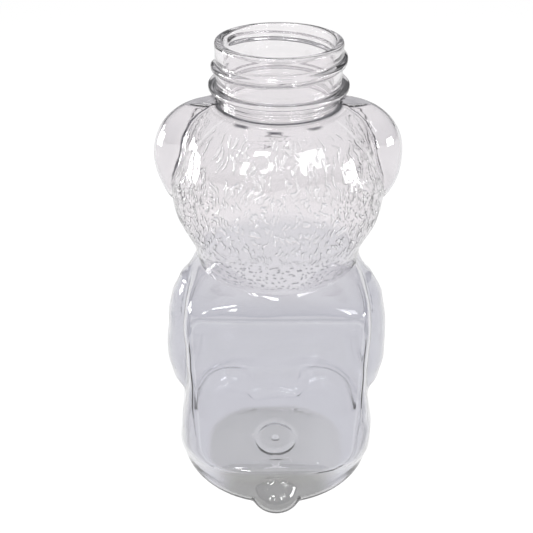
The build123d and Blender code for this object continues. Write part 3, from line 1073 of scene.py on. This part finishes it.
def pale_floor(studio):
    """Plain pale floor that lamps light. Lens, reflections and refractions see it near white."""
    material = bpy.data.materials.new("pale_floor")
    tree = empty_tree(material)
    glow = add_node(tree, "ShaderNodeEmission", Strength=1.0)
    glow.inputs["Color"].default_value = (*WHITE, 1.0)
    matt = add_node(tree, "ShaderNodeBsdfDiffuse", Color=(*studio.floor, 1.0))
    path = add_node(tree, "ShaderNodeLightPath")
    seen = path.outputs["Is Camera Ray"]
    for name in ("Is Glossy Ray", "Is Transmission Ray"):
        seen = math_node(tree, "MAXIMUM", seen, path.outputs[name])
    finish_surface(tree, times(tree, seen, studio.glow), matt, glow)
    return material


def studio_world(studio):
    """Soft room: pale overhead and greyer towards the horizon, which darkens the wall's edges."""
    world = bpy.data.worlds.new("studio_world")
    tree = empty_tree(world)
    out = add_node(tree, "ShaderNodeOutputWorld")
    sky = add_node(tree, "ShaderNodeBackground")
    ramp = add_node(tree, "ShaderNodeValToRGB")
    stops = ramp.color_ramp.elements
    stops[0].color, stops[1].color = (*studio.low_sky, 1.0), (*studio.high_sky, 1.0)
    stops.new(MIDDLE_SKY_RISE).color = (*studio.middle_sky, 1.0)
    heading = add_node(tree, "ShaderNodeTexCoord").outputs["Generated"]
    tree.links.new(parts(tree, heading)["Z"], ramp.inputs["Fac"])
    diffuse = add_node(tree, "ShaderNodeLightPath").outputs["Is Diffuse Ray"]
    plain = tinted(tree, ramp.outputs["Color"], diffuse, studio.daylight)
    tree.links.new(plain, sky.inputs["Color"])
    tree.links.new(sky.outputs["Background"], out.inputs["Surface"])
    return world


def add_object(scene, name, data):
    """New object of a scene."""
    item = bpy.data.objects.new(name, data)
    scene.collection.objects.link(item)
    return item


def colour(name, description, default):
    """Property of a group that holds a colour."""
    return FloatVectorProperty(
        name=name, description=description, default=default, subtype="COLOR", size=3, min=0, max=1
    )


class BearLook(bpy.types.PropertyGroup):
    """Colours and finish of the plastic"""

    tint: colour("Tint", "What one wall of the head leaves of the light", (0.885, 0.867, 0.880))
    # Painted shade: the torso drawn darker than the head
    torso_shade: colour("Body tint", "The same for the torso's wall", (0.73, 0.73, 0.765))
    # Painted shade: the ears drawn darker than the head
    shaded_ear_tint: colour("Ear tint", "The same behind the ears", (0.78, 0.77, 0.79))
    # The heel's wall is thicker, and painted shade darkens its back
    heel_shade_tint: colour("Heel tint", "The same for the thick wall at the heel", (0.56, 0.56, 0.56))
    # The push-up's wall is thicker, and painted shade darkens it further
    push_up_shade: colour("Base tint", "The same for the push-up under the bottle", (0.50, 0.50, 0.48))
    # Painted shade along the outline, where the wall is seen along itself
    edge_shade: colour(
        "Edge tint", "The same where the wall is seen along itself", (0.34, 0.34, 0.37)
    )
    # Painted shade along the fur's rims, on its low dots and along the panel's border
    line_shade: colour(
        "Line tint", "The same along the rim of each stroke of fur", (0.45, 0.45, 0.47)
    )
    # Painted shade in the creases round the ears and the neck, and in the pits
    crease_shade: colour("Crease tint", "The same in the sharp creases", (0.04, 0.04, 0.05))
    shade: colour(
        "Shade", "What each surface leaves of the light in the shadow", (0.95, 0.95, 0.96)
    )
    edge_power: FloatProperty(
        name="Edge power", description="How narrow the darker edge is", default=4.5, min=1.0
    )
    roughness: FloatProperty(
        name="Roughness", description="Roughness of the surface", default=0.02, min=0.0, max=1.0
    )
    refraction: FloatProperty(
        name="Refraction", description="Refractive index of the plastic", default=1.57, min=1.0
    )
    fur_height: FloatProperty(
        name="Fur height",
        description="How far the fur stands out",
        default=0.0002,
        min=0.0,
        unit="LENGTH",
        precision=5,
    )


class BearStudio(bpy.types.PropertyGroup):
    """Floor, room and lamps"""

    floor: colour("Floor", "Colour of the floor", (0.93, 0.93, 0.93))
    low_sky: colour("Low room", "Room at the height of the object", (0.14, 0.14, 0.15))
    middle_sky: colour("Middle room", "Room above the object", (0.5, 0.5, 0.52))
    high_sky: colour("Ceiling", "Room straight overhead", (0.85, 0.85, 0.87))
    daylight: colour("Daylight", "What the room throws on the floor", (0.8, 0.8, 0.8))
    glow: FloatProperty(
        name="Glow",
        description="Share of the floor that the lens sees as plain white",
        default=0.93,
        min=0.0,
        max=1.0,
        subtype="FACTOR",
    )
    power: FloatProperty(
        name="Lamp power", description="Power of the main lamp", default=2.2, min=0.0, unit="POWER"
    )


class BEAR_OT_bottle(bpy.types.Operator):
    """Builds the blown wall of the bear and hides the plain nodes that it stands for"""

    bl_idname = "bear.bottle"
    bl_label = "Blown bottle"

    def execute(self, context):
        turn = column_turns(COLUMNS)
        outer, inside = bottle_points(turn)
        mesh = grid_mesh("blown_bottle", outer, inside, turn)
        bottle = add_object(context.scene, "blown_bottle", mesh)
        mesh.materials.append(clear_plastic(context.scene.bear_look))
        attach(bottle, "root")
        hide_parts("neck_finish", "head", "torso", "hips")
        return {"FINISHED"}


class BEAR_OT_stage(bpy.types.Operator):
    """Sets the floor, the room, the lamps and the camera"""

    bl_idname = "bear.stage"
    bl_label = "Studio"

    def execute(self, context):
        scene = context.scene
        studio = scene.bear_studio
        scene.view_settings.view_transform = "Standard"
        mesh = bpy.data.meshes.new("floor")
        reach = FLOOR_HALF * MM
        corners = [(-reach, -reach), (reach, -reach), (reach, reach), (-reach, reach)]
        mesh.from_pydata([(x, y, FLOOR_DROP * MM) for x, y in corners], [], [(0, 1, 2, 3)])
        mesh.materials.append(pale_floor(studio))
        floor = add_object(scene, "floor", mesh)
        scene.world = studio_world(studio)

        aim = Vector((0, 0, RIM_LEVEL / 2 * MM))
        for name, place, size, share in LAMPS:
            lamp = bpy.data.lights.new(name, "AREA")
            lamp.shape = "RECTANGLE"
            lamp.size, lamp.size_y = metres(size)
            lamp.energy = studio.power * share
            holder = add_object(scene, name, lamp)
            holder.location = metres(place)
            holder.visible_transmission = place[1] < LENS_SIDE
            holder.visible_glossy = name != INSIDE_ONLY
            holder.rotation_euler = (holder.location - aim).to_track_quat("Z", "Y").to_euler()

        camera = add_object(scene, "camera", bpy.data.cameras.new("camera"))
        camera.location = metres(CAMERA_PLACE)
        camera.rotation_euler = (radians(90 - CAMERA_PITCH), 0, 0)
        camera.data.lens = CAMERA_LENS
        camera.data.sensor_width = SENSOR
        scene.camera = camera
        return {"FINISHED"}


class BEAR_PT_panel(bpy.types.Panel):
    """Lists the steps that build the bottle and its studio"""

    bl_label = "Honey Bear Bottle"
    bl_idname = "BEAR_PT_panel"
    bl_space_type = "VIEW_3D"
    bl_region_type = "UI"
    bl_category = "Bear Bottle"

    def draw(self, context):
        for group in (context.scene.bear_look, context.scene.bear_studio):
            for name in group.__annotations__:
                self.layout.prop(group, name)
        self.layout.operator(BEAR_OT_bottle.bl_idname)
        self.layout.operator(BEAR_OT_stage.bl_idname)


CLASSES = (BearLook, BearStudio, BEAR_OT_bottle, BEAR_OT_stage, BEAR_PT_panel)


def register():
    for item in CLASSES:
        bpy.utils.register_class(item)
    bpy.types.Scene.bear_look = PointerProperty(type=BearLook)
    bpy.types.Scene.bear_studio = PointerProperty(type=BearStudio)


def unregister():
    del bpy.types.Scene.bear_studio
    del bpy.types.Scene.bear_look
    for item in reversed(CLASSES):
        bpy.utils.unregister_class(item)


def main():
    register()
    bpy.ops.bear.bottle()
    bpy.ops.bear.stage()


if __name__ == "__main__":
    main()
